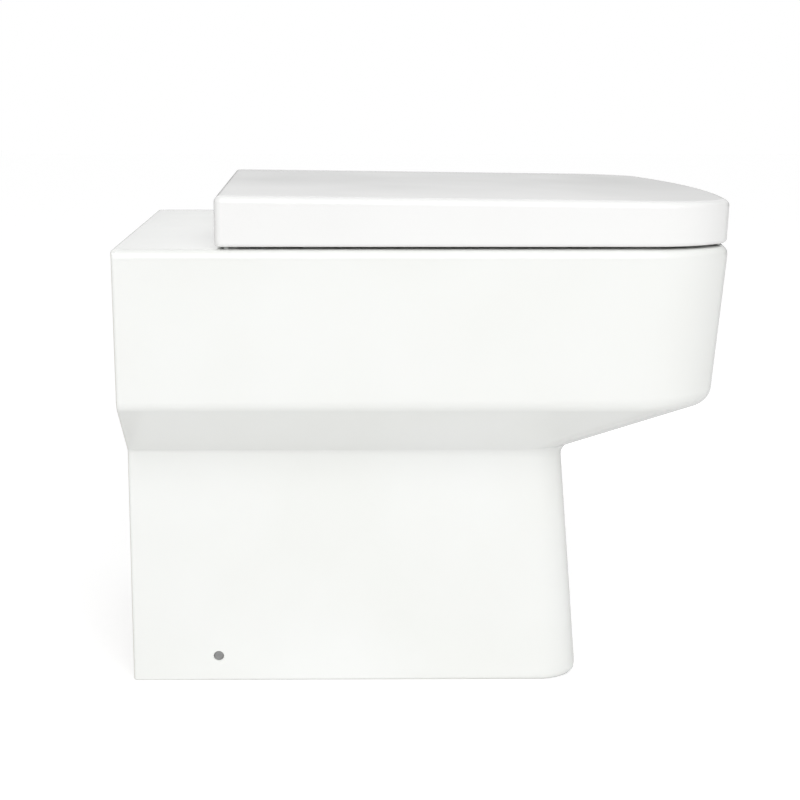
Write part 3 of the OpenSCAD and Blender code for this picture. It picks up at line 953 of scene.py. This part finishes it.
        # each bend: centre, radius, first angle, sweep and spans, and the turns from that angle to
        # the point and to the direction
        bends = (
            (rise_c, rise_r, 270, -rise_turn, 10, 0, -90),
            (weir_c, weir_r, 90 - rise_turn, weir_end - 90 + rise_turn, 16, 0, 90),
            (turn_c, turn_r, weir_end + 90, 90 - weir_end, 8, 90, 0),
        )
        line = [(Vector((start_y, floor)), Vector((-1, 0)))]
        for centre, radius, start, sweep, spans, spoke, heading in bends:
            for i in range(spans + 1):
                a = start + sweep * i / spans
                line.append((centre + radius * way(a + spoke), way(a + heading)))
        return line

    def tube(self, name: str, radius: float) -> Piece:
        """Runs a round tube along the trap.

        Args:
            name: Name of the shape.
            radius: Its radius.

        Returns:
            The shape.
        """
        sides = 40
        angles = [2 * math.pi * i / sides for i in range(sides)]
        rings = []
        for point, heading in self.trap_line():
            across = Vector((heading.y, -heading.x))
            spokes = [(radius * math.cos(a), across * radius * math.sin(a)) for a in angles]
            rings.append([Vector((x, point.x + spoke.x, point.y + spoke.y)) for x, spoke in spokes])
        return Bench.loft(name, rings)

    def extras(self) -> list[Piece]:
        """Models what is joined to the skin inside.

        Returns:
            The boxed rim, the bowl, the trap, the spigot, and the inlet with its plenum.
        """
        roof = self.deck_under + self.overlap
        return [
            Bench.loft("rim block", [self.opening(self.rim_reach, z) for z in (self.rim_under, roof)]),
            self.bowl("bowl skin", self.shell, 4),
            self.tube("trap skin", self.trap_bore + self.shell),
            Bench.bar("spigot", (0, 60, self.outlet), Axis.Y, self.outlet_r, 40, 72, (1.5, 2.0), 46),
            Bench.bar("pipe", (0, 50, self.inlet), Axis.Y, self.inlet_r, 42, 60, (1.5, 0.5), 30),
            Bench.block("plenum", (-47, 83, 303), (47, 151, roof), 4),
        ]

    def spaces(self) -> list[Piece]:
        """Models what is open inside the china.

        Returns:
            The bowl, the waterway, the flush way with its channel, and the fixing holes.
        """
        holes = [
            Bench.bar("bolt hole", (x, y, 385), Axis.Z, self.bolt_hole_r, 17, 40)
            for x, y in Bench.spots([HINGE_BOLT])
        ]
        holes += Bench.both(self.side_hole)
        ring = self.opening(self.flush_out, 0)
        for i in range(self.flush_holes):
            p = ring[round(i * len(ring) / self.flush_holes) % len(ring)]
            holes.append(Bench.bar("flush hole", (p.x, p.y, 356), Axis.Z, self.flush_hole_r, 11, 20))
        near, far = self.channel_out
        channel = Bench.loft("channel", [self.opening(far, z) for z in (366, 385)])
        core = Bench.loft("channel core", [self.opening(near, z) for z in (360, 390)])
        return [
            self.mouth(),
            self.bowl("bowl space", 0, 0.6),
            self.tube("waterway", self.trap_bore),
            Bench.bar("outlet bore", (0, 58, self.outlet), Axis.Y, self.outlet_bore, 33, 72),
            Bench.bar("inlet bore", (0, 48, self.inlet), Axis.Y, self.inlet_bore, 46, 60),
            Bench.block("plenum space", (-38, 92, 312), (38, 124, 384), 3),
            Bench.block("feed", (-38, 92.5, 366), (38, 152, 384), 2),
            Bench.meet(channel, Join.CUT, [core]),
            *holes,
        ]

    def side_hole(self, side: int) -> Piece:
        """Hole for a side fixing, wider at its mouth, where the glaze draws back."""
        profile = [(4.5, 0), (4.5, side * 25.9), (5.3, side * 26.7), (5.3, side * 29)]
        return Bench.turned("side hole", (side * 100, *SIDE_HOLE), Axis.X, profile, [0.6, 0.4], 40)

    def build(self) -> Piece:
        """Models the china and gives each surface its finish.

        Returns:
            The finished piece.
        """
        china = dress(self.outside(), GLAZED_CHINA)
        china.data.materials.append(BARE_CHINA.material())
        for face in china.data.polygons:
            to_wall, to_floor = WALL - face.center.y * MM, face.center.z * MM
            face.material_index = 1 if min(to_wall, to_floor) < self.bare_within else 0
        Bench.meet(china, Join.CUT, [dress(self.hollow(), BARE_CHINA)])
        Bench.meet(china, Join.ADD, [dress(part, BARE_CHINA) for part in self.extras()])
        Bench.meet(china, Join.CUT, [dress(part, GLAZED_CHINA) for part in self.spaces()])
        Bench.smooth(china)
        mount(china, "pan_body", ["pan", "rim", "bowl", "sump", "trap", "inlet"])
        return china


# ---- Lid and seat ----


@dataclass
class Cover:
    """What the lid and the seat share: their outline, their slope and their hinge knuckles."""

    plan: Plan = Plan(180, 518.5, 436.5, 88, 26, 700)
    back: float = 83.0
    under: float = 402.1
    top: float = 442.7
    fall: float = 0.01281
    axis_y: float = HINGE_AXIS[0]
    axis_z: float = HINGE_AXIS[1]
    knuckle_x: float = 50.0
    knuckle_r: float = 7.0
    knuckle_w: float = 19.0
    bore: float = 5.0
    inside: float = 0.2

    def top_at(self, y: float) -> float:
        """Height of the lid's top at a distance from the wall."""
        return self.top - self.fall * (y - self.back)

    def ends(self, side: int) -> tuple[float, float]:
        """Both ends of what carries a knuckle, just inside those of the knuckle."""
        near, far = self.knuckle_x + self.inside, self.knuckle_x + self.knuckle_w - self.inside
        return side * near, side * far

    def knuckle(self, side: int) -> Piece:
        """Round hinge knuckle on the right, for 1, or on the left, for -1."""
        start, width = (side * self.knuckle_x, self.axis_y, self.axis_z), side * self.knuckle_w
        return Bench.bar("knuckle", start, Axis.X, self.knuckle_r, width, 48, (0.8, 0.8), 5.5)

    def knuckle_bore(self, side: int) -> Piece:
        """Bore through the knuckle on the right, for 1, or on the left, for -1."""
        start = (side * (self.knuckle_x - 1), self.axis_y, self.axis_z)
        return Bench.bar("knuckle bore", start, Axis.X, self.bore, side * (self.knuckle_w + 2))

    def hinge(self, piece: Piece, carrier: Maker) -> None:
        """Gives a piece its two knuckles and bores them.

        Args:
            piece: The lid or the seat.
            carrier: Makes what carries the knuckle on one side.
        """
        Bench.meet(piece, Join.ADD, Bench.both(carrier))
        Bench.meet(piece, Join.ADD, Bench.both(self.knuckle))
        Bench.meet(piece, Join.CUT, Bench.both(self.knuckle_bore))


@dataclass
class Lid(Cover):
    """Wrap-over lid: a flat top with a deep skirt that hides the seat."""

    skirt: float = 4.0
    thick: float = 4.5
    foot_r: float = 3.2
    edge_r: float = 5.6
    notch: tuple[float, float] = (46.0, 109.0)
    notch_top: float = 437.1

    def build(self) -> Piece:
        """Models the lid with its skirt, notches and hinge knuckles.

        Returns:
            The finished piece.
        """
        back, skirt = self.back, self.skirt
        keys = [
            self.plan.inset(skirt).outline(self.under, back + skirt, 2),
            self.plan.outline(self.under, back, 6),
            self.plan.outline(self.top_at, back, 6),
            self.plan.inset(12).outline(self.top_at, back + 12, 1),
        ]
        lid = Bench.loft("lid_shell", sections(keys, lambda _p: [self.foot_r, self.edge_r], [5, 8]))
        ceiling = self.plan.inset(skirt)
        inner = [
            ceiling.outline(self.under - 1, back + skirt, 3),
            ceiling.outline(self.ceiling_at, back + skirt, 3),
            ceiling.inset(9).outline(self.ceiling_at, back + skirt + 9, 1),
        ]
        Bench.meet(lid, Join.CUT, [Bench.loft("lid space", sections(inner, lambda _p: [5.0], [5]))])
        Bench.meet(lid, Join.CUT, Bench.both(self.notch_space))
        self.hinge(lid, self.gusset)
        dress(lid, UREA_RESIN)
        Bench.smooth(lid)
        mount(lid, "lid_body", ["lid"])
        return lid

    def ceiling_at(self, y: float) -> float:
        """Height of the lid's underside at a distance from the wall."""
        return self.top_at(y) - self.thick

    def notch_space(self, side: int) -> Piece:
        """Space cut in the back of the skirt round a hinge."""
        near, far = sorted(side * x for x in self.notch)
        low, high = (near, self.back - 3, 390), (far, self.back + self.skirt + 1, self.notch_top)
        return Bench.block("notch", low, high, 2.5)

    def gusset(self, side: int) -> Piece:
        """Makes the web that carries a knuckle under the top of the lid.

        Args:
            side: 1 for the right and -1 for the left.

        Returns:
            The web.
        """
        top = self.top - self.thick + 0.25
        y, z, r = self.axis_y, self.axis_z, self.knuckle_r
        shape = [(y - r, z), (y + r, z), (y + 42, top - 0.6), (y - r, top)]
        return Bench.slab("gusset", self.ends(side), shape, 0.6)


@dataclass
class Seat(Cover):
    """Seat ring with a soft inner edge and a hollow underside."""

    knuckle_x: float = 86.0
    inset: float = 6.5
    seat_back: float = 124.0
    seat_under: float = 406.0
    below_lid: float = 12.5
    edge_r: float = 6.0
    inner_r: float = 9.0
    hole_width: float = 226.0
    hole_back: float = 179.0
    hole_front: float = 446.0
    hollow_top: float = 419.0
    web: float = 7.0
    boss_r: float = 14.0
    stem_hole_r: float = 4.05
    pads: Pairs = ((147, 205), (147, 395))

    def seat_top(self, y: float) -> float:
        """Height of the seat's top at a distance from the wall."""
        return self.top_at(y) - self.below_lid

    def hole(self, wider: float, level: Level) -> Ring:
        """Draws a ring round the seat's opening.

        Args:
            wider: Its distance outside the edge of the opening.
            level: Gives its height at a distance from the wall.

        Returns:
            The ring.
        """
        width = self.hole_width + 2 * wider
        ring = oval(width, self.hole_back - wider, self.hole_front + wider, 3, 0, 112)
        return [Vector((p.x, p.y, level(p.y))) for p in ring]

    def opening(self) -> Piece:
        """Models the seat's opening.

        Returns:
            The space, with room for a round upper and a soft lower edge.
        """
        soft = ((1.5, -1.0), (1.5, 0.0), (0.4, 0.5), (0.0, 1.5))
        rings = [self.hole(wider, lambda _y, up=up: self.seat_under + up) for wider, up in soft]
        for s, c in quarter(9):
            out, down = self.inner_r * (1 - c), self.inner_r * (1 - s)
            rings.append(self.hole(out, lambda y, d=down: self.seat_top(y) - d))
        rings.append(self.hole(self.inner_r, lambda y: self.seat_top(y) + 1))
        return Bench.loft("seat opening", rings)

    def hollow(self) -> Piece:
        """Models the space under the ring.

        Returns:
            The space, clear of the inner web, the bosses and the roots of the arms.
        """
        plan, low, back = self.plan.inset(self.inset + self.web), self.seat_under - 3, self.seat_back
        levels = (self.seat_under - 1, self.hollow_top)
        space = Bench.loft("seat hollow", [plan.outline(z, back + self.web, 4) for z in levels])
        kept = [Bench.loft("web", [self.hole(self.web, lambda _y, z=z: z) for z in (low, 425)])]
        for x, y in Bench.spots(self.pads):
            kept.append(Bench.bar("boss", (x, y, low), Axis.Z, self.boss_r, 20))
        for side in SIDES:
            near, far = sorted((side * (self.knuckle_x - 2), side * (self.knuckle_x + self.knuckle_w + 2)))
            kept.append(Bench.block("arm root", (near, back, low), (far, back + 30, 426)))
        return Bench.meet(space, Join.CUT, kept)

    def arm(self, side: int) -> Piece:
        """Makes the arm that reaches back from the ring to a knuckle.

        Args:
            side: 1 for the right and -1 for the left.

        Returns:
            The arm.
        """
        y, z, r, back, low = self.axis_y, self.axis_z, self.knuckle_r, self.seat_back, self.seat_under
        root = (back + 16, self.seat_top(back + 16) - 0.5)
        shape = [(y, z - r), (back + 4, low + 4), (back + 20, low + 12), root, (y, z + r)]
        return Bench.slab("arm", self.ends(side), shape, 0.8)

    def build(self) -> Piece:
        """Models the seat ring with its arms, knuckles and buffer holes.

        Returns:
            The finished piece.
        """
        plan, back, low = self.plan.inset(self.inset), self.seat_back, self.seat_under
        keys = [
            plan.inset(6).outline(low, back + 6, 3),
            plan.outline(low, back, 9),
            plan.outline(self.seat_top, back, 9),
            plan.inset(12).outline(self.seat_top, back + 12, 1),
        ]
        seat = Bench.loft("seat_ring", sections(keys, lambda _p: [1.5, self.edge_r], [4, 8]))
        Bench.meet(seat, Join.CUT, [self.opening(), self.hollow()])
        self.hinge(seat, self.arm)
        for x, y in Bench.spots(self.pads):
            hole = Bench.bar("stem hole", (x, y, low - 1), Axis.Z, self.stem_hole_r, 10, 32)
            Bench.meet(seat, Join.CUT, [hole])
        dress(seat, UREA_RESIN)
        Bench.smooth(seat)
        mount(seat, "seat_body", ["seat"])
        return seat


@dataclass
class Buffers(Seat):
    """Rubber buffers that the seat and the lid come down on."""

    rim: float = 400.0
    rest_gap: float = 0.3
    lid_thick: float = 4.5
    lid_pads: Pairs = ((142, 170), (140, 440))

    def seat_pad(self, x: float, y: float) -> Piece:
        """Round pad with a stem pressed into the seat."""
        profile = [(7.5, 0), (10, 0), (10, 5.7), (4, 5.7), (4, 13.5), (2.5, 13.5)]
        return Bench.turned("pad", (x, y, self.rim + self.rest_gap), Axis.Z, profile, [1.8, 0.2, 0.2, 0.8])

    def lid_pad(self, x: float, y: float) -> Piece:
        """Makes a round pad that is stuck under the lid.

        Args:
            x: Its place across the lid.
            y: Its distance from the wall.

        Returns:
            The pad, cut to the slope of the lid's underside.
        """
        low, far, high = self.seat_top(y - 7) + self.rest_gap, 20, 470
        pad = Bench.bar("pad", (x, y, low), Axis.Z, 7, 12, 48, (1.6, 0.5), 5)
        slope = [(end, self.top_at(end) - self.lid_thick) for end in (y - far, y + far)]
        side = [*slope, (y + far, high), (y - far, high)]
        return Bench.meet(pad, Join.CUT, [Bench.slab("slope", (x - far, x + far), side)])

    def build(self) -> list[Piece]:
        """Models both sets of four buffers.

        Returns:
            The seat's and the lid's buffers.
        """
        sets = []
        for name, make, spots, body in (
            ("seat_buffer_set", self.seat_pad, self.pads, "seat_body"),
            ("lid_buffer_set", self.lid_pad, self.lid_pads, "lid_body"),
        ):
            piece, *others = [make(x, y) for x, y in Bench.spots(spots)]
            piece.name = piece.data.name = name
            Bench.meet(piece, Join.ADD, others)
            dress(piece, PALE_RUBBER)
            Bench.smooth(piece, 40)
            mount(piece, body, [name.replace("_set", "s")])
            sets.append(piece)
        return sets


# ---- Hinges ----


@dataclass
class HingeHardware:
    """Posts, bolts and wing nuts that hold the seat to the deck."""

    x: float = HINGE_BOLT[0]
    y: float = HINGE_BOLT[1]
    axis_y: float = HINGE_AXIS[0]
    axis_z: float = HINGE_AXIS[1]
    foot: float = 401.5
    head: float = 435.0
    width: float = 15.0
    half_depth: float = 6.5
    flange_r: float = 13.0
    barrel_r: float = 7.0
    pin_r: float = 3.0
    bolt_r: float = 4.0
    root_r: float = 3.4
    pitch: float = 1.25
    thread_end: float = 37.0
    bolt_low: float = 346.0
    bolt_length: float = 77.5
    nut_low: float = 368.0
    nut_r: float = 9.0
    wing: float = 17.0

    def post(self) -> Piece:
        """Models the right hinge post.

        Returns:
            The post, with a round flange, a column and a barrel.
        """
        x, y, foot, width = self.x, self.y, self.foot, self.width
        left, right, front = x - width / 2, x + width / 2, y + self.half_depth
        post = Bench.block("hinge_post_r", (left, y - self.half_depth, foot), (right, front, self.head), 1.2)
        axis = (left, self.axis_y, self.axis_z)
        more = [
            Bench.bar("flange", (x, y, foot), Axis.Z, self.flange_r, 3, 64, (0.3, 1.4), 10),
            Bench.block("arm", (left, self.axis_y, self.axis_z - 4), (right, front, self.head), 1.2),
            Bench.bar("barrel", axis, Axis.X, self.barrel_r, width, 56, (1, 1), 5),
        ]
        Bench.meet(post, Join.ADD, more)
        pin = Bench.bar("pin bore", (left - 1, self.axis_y, self.axis_z), Axis.X, self.pin_r, width + 2)
        hole = Bench.bar("bolt hole", (x, y, foot - 1), Axis.Z, self.bolt_r, 23)
        return Bench.meet(post, Join.CUT, [pin, hole])

    def bolt(self) -> Piece:
        """Models the right fixing bolt.

        Returns:
            The bolt, threaded below the deck.
        """
        root, crest, chamfer = self.root_r, self.bolt_r, 0.6
        profile, z = [(2.9, 0.0), (root, chamfer)], chamfer
        while z < self.thread_end:
            profile += [(crest, z + self.pitch / 2), (root, z + self.pitch)]
            z += self.pitch
        profile += [(crest, z + 1), (crest, self.bolt_length - chamfer), (root, self.bolt_length)]
        return Bench.turned("hinge_bolt_r", (self.x, self.y, self.bolt_low), Axis.Z, profile, None, 32)

    def nut(self) -> Piece:
        """Models the right wing nut.

        Returns:
            The nut, with a round hub and four wings.
        """
        x, y, z, reach = self.x, self.y, self.nut_low, self.wing
        nut = Bench.bar("wing_nut_r", (x, y, z), Axis.Z, self.nut_r, 14, 48, (1.2, 1.0), 6)
        for out_x, out_y in ((reach, 2), (2, reach)):
            low, high = (x - out_x, y - out_y, z), (x + out_x, y + out_y, z + 11)
            Bench.meet(nut, Join.ADD, [Bench.block("wing", low, high, 1.3)])
        return Bench.meet(nut, Join.CUT, [Bench.bar("bore", (x, y, z - 1), Axis.Z, self.bolt_r, 16, 32)])

    def build(self) -> None:
        """Models and mounts the hardware of both hinges."""
        mount_pair(self.post(), PLATED_BRASS, "hinge_post")
        mount_pair(self.bolt(), STAINLESS_BAR, "hinge_bolt")
        mount_pair(self.nut(), WHITE_NYLON, "wing_nut")


# ---- Side caps ----


@dataclass
class SideCaps:
    """Small grey caps over the side screws."""

    inner: float = 123.9
    outer: float = 125.5
    radius: float = 4.3

    def cap(self) -> Piece:
        """Models the right cap.

        Returns:
            The cap, slightly domed, with a rolled edge.
        """
        thick = self.outer - self.inner
        edge = [(3.4, 0.0), (4.2, 0.0), (self.radius, 0.6)]
        dome = [(3.9, thick - 0.15), (2.2, thick - 0.02), (0.6, thick)]
        start, radii = (self.inner, *SIDE_HOLE), [0.2, 0.3, 0.5, 0.8]
        return Bench.turned("side_cap_r", start, Axis.X, edge + dome, radii, 40)

    def build(self) -> None:
        """Models and mounts both caps."""
        mount_pair(self.cap(), GREY_NYLON, "side_cap", 50)


# ---- Pieces kept from the frame ----

KEPT: dict[str, Finish] = {
    "seat_damper": GREY_NYLON,
    "lid_damper": GREY_NYLON,
    "seat_bush": WHITE_NYLON,
    "lid_bush": WHITE_NYLON,
}
KEPT_PAIRS: dict[str, Finish] = {
    "hinge_pin": STAINLESS_BAR,
    "hinge_gasket": PALE_RUBBER,
    "cone_washer": BLACK_RUBBER,
    "floor_bracket": WHITE_NYLON,
    "side_sleeve": GREY_NYLON,
    "side_screw": STAINLESS_BAR,
}


def dress_kept() -> None:
    """Gives each frame node that stays its finish."""
    sides = ("left", "right")
    pairs = {f"{name}_{side}": finish for name, finish in KEPT_PAIRS.items() for side in sides}
    for name, finish in (KEPT | pairs).items():
        dress(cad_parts[name], finish)
        log.info("%s: kept from the frame in %s", name, finish.name)


# ---- Studio ----


@dataclass
class Studio:
    """White room, one large soft lamp and the camera of the photograph, with places in metres."""

    floor_size: float = 14.0
    floor_x: float = 3.0
    floor_lift: float = 0.66
    lamp_place: Point = (-2.1, -0.2, 1.8)
    lamp_target: Point = (0.0, 0.0, 0.3)
    lamp_size: float = 2.0
    lamp_watts: float = 22.5
    # the camera: place, tilt in degrees, focal length in millimetres, and shift
    eye: Point = (-1.1826, 0.1084, 0.5220)
    tilt: float = 76.261
    lens: float = 56.594
    lens_shift: float = 0.1253
    room_light: float = 0.81
    # axis, from, to, and the light at both: the room is dim along the horizon, overhead, in front
    # and behind, and brightest on the side of the camera
    grades: tuple[tuple[str, float, float, float, float], ...] = (
        ("Z", 0.062, 0.085, 0.21, 1.33),
        ("Z", 0.35, 1.0, 1.0, 0.6),
        ("X", -0.8, 0.6, 1.5, 1.0),
        ("Y", -0.9, -0.2, 0.1, 1.0),
        ("Y", 0.05, 0.7, 1.0, 0.34),
    )

    def floor(self) -> None:
        """Lays a wide sheet of white paper.

        It lights the object as a plain sheet does. The camera sees it lifted to white, apart from
        the object's shadow.
        """
        bpy.ops.object.select_all(action="DESELECT")
        bpy.ops.mesh.primitive_plane_add(size=self.floor_size, location=(self.floor_x, 0, 0))
        floor = bpy.context.object
        floor.name = floor.data.name = "studio_floor"
        bpy.ops.object.transform_apply(location=True, rotation=True, scale=True)
        paper = bpy.data.materials.new("white_studio_paper")
        paper.use_nodes = True
        tree = paper.node_tree
        tree.nodes.clear()
        place = add_node(tree, "TexCoord")
        tooth = add_node(tree, "TexNoise", {"Scale": 900.0}, {"Vector": place.outputs["Object"]})
        relief = add_node(tree, "Bump", {"Distance": 0.0001}, {"Height": tooth.outputs["Fac"]})
        normal = {"Normal": relief.outputs["Normal"]}
        plain = add_node(tree, "BsdfDiffuse", {"Color": linear("#F2F2F2")}, normal)
        shade = add_node(tree, "BsdfDiffuse", {"Color": linear("#BCBCBC")}, normal)
        lift = add_node(tree, "Emission", {"Strength": self.floor_lift})
        seen = add_node(tree, "AddShader", {}, {0: shade.outputs["BSDF"], 1: lift.outputs["Emission"]})
        end_tree(tree, "OutputMaterial", plain.outputs["BSDF"], seen.outputs["Shader"])
        floor.data.materials.append(paper)

    def room(self) -> None:
        """Lights the room by direction, and shows it white to the camera."""
        world = bpy.data.worlds.new("white_room")
        bpy.context.scene.world = world
        world.use_nodes = True
        tree = world.node_tree
        tree.nodes.clear()
        way = add_node(tree, "TexCoord")
        split = add_node(tree, "SeparateXYZ", {}, {"Vector": way.outputs["Generated"]})
        level = add_node(tree, "Value").outputs["Value"]
        level.default_value = self.room_light
        for axis, start, end, first, last in self.grades:
            span = {"From Min": start, "From Max": end, "To Min": first, "To Max": last}
            grade = add_node(tree, "MapRange", span, {"Value": split.outputs[axis]})
            factors = {0: level, 1: grade.outputs["Result"]}
            level = add_node(tree, "Math", {"operation": "MULTIPLY"}, factors).outputs["Value"]
        white = (1.0, 1.0, 1.0, 1.0)
        dim = add_node(tree, "Background", {"Color": white}, {"Strength": level})
        seen = add_node(tree, "Background", {"Color": white, "Strength": 1.0})
        end_tree(tree, "OutputWorld", dim.outputs["Background"], seen.outputs["Background"])

    def lamp(self) -> None:
        """Hangs a large soft lamp high on the side of the camera."""
        data = bpy.data.lights.new("side_lamp", "AREA")
        data.size = self.lamp_size
        data.energy = self.lamp_watts
        lamp = bpy.data.objects.new("side_lamp", data)
        lamp.location = self.lamp_place
        way = Vector(self.lamp_target) - Vector(self.lamp_place)
        lamp.rotation_euler = way.to_track_quat("-Z", "Y").to_euler()
        bpy.context.scene.collection.objects.link(lamp)

    def camera(self) -> None:
        """Sets the camera where the photograph was taken from."""
        data = bpy.data.cameras.new("photo_camera")
        data.sensor_width = 36.0
        data.lens = self.lens
        data.shift_x = self.lens_shift
        data.clip_start = 0.05
        data.clip_end = 60.0
        camera = bpy.data.objects.new("photo_camera", data)
        camera.location = self.eye
        camera.rotation_euler = (math.radians(self.tilt), 0.0, math.radians(-90.0))
        bpy.context.scene.collection.objects.link(camera)
        bpy.context.scene.camera = camera

    def build(self) -> None:
        """Sets up the whole studio."""
        self.floor()
        self.room()
        self.lamp()
        self.camera()
        bpy.context.scene.view_settings.view_transform = "Standard"


def main() -> None:
    """Builds and dresses every piece in order, then the studio."""
    logging.basicConfig(level=logging.INFO, format="%(message)s")
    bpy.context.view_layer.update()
    China().build()
    Lid().build()
    Seat().build()
    Buffers().build()
    HingeHardware().build()
    SideCaps().build()
    dress_kept()
    Studio().build()


if __name__ == "__main__":
    main()
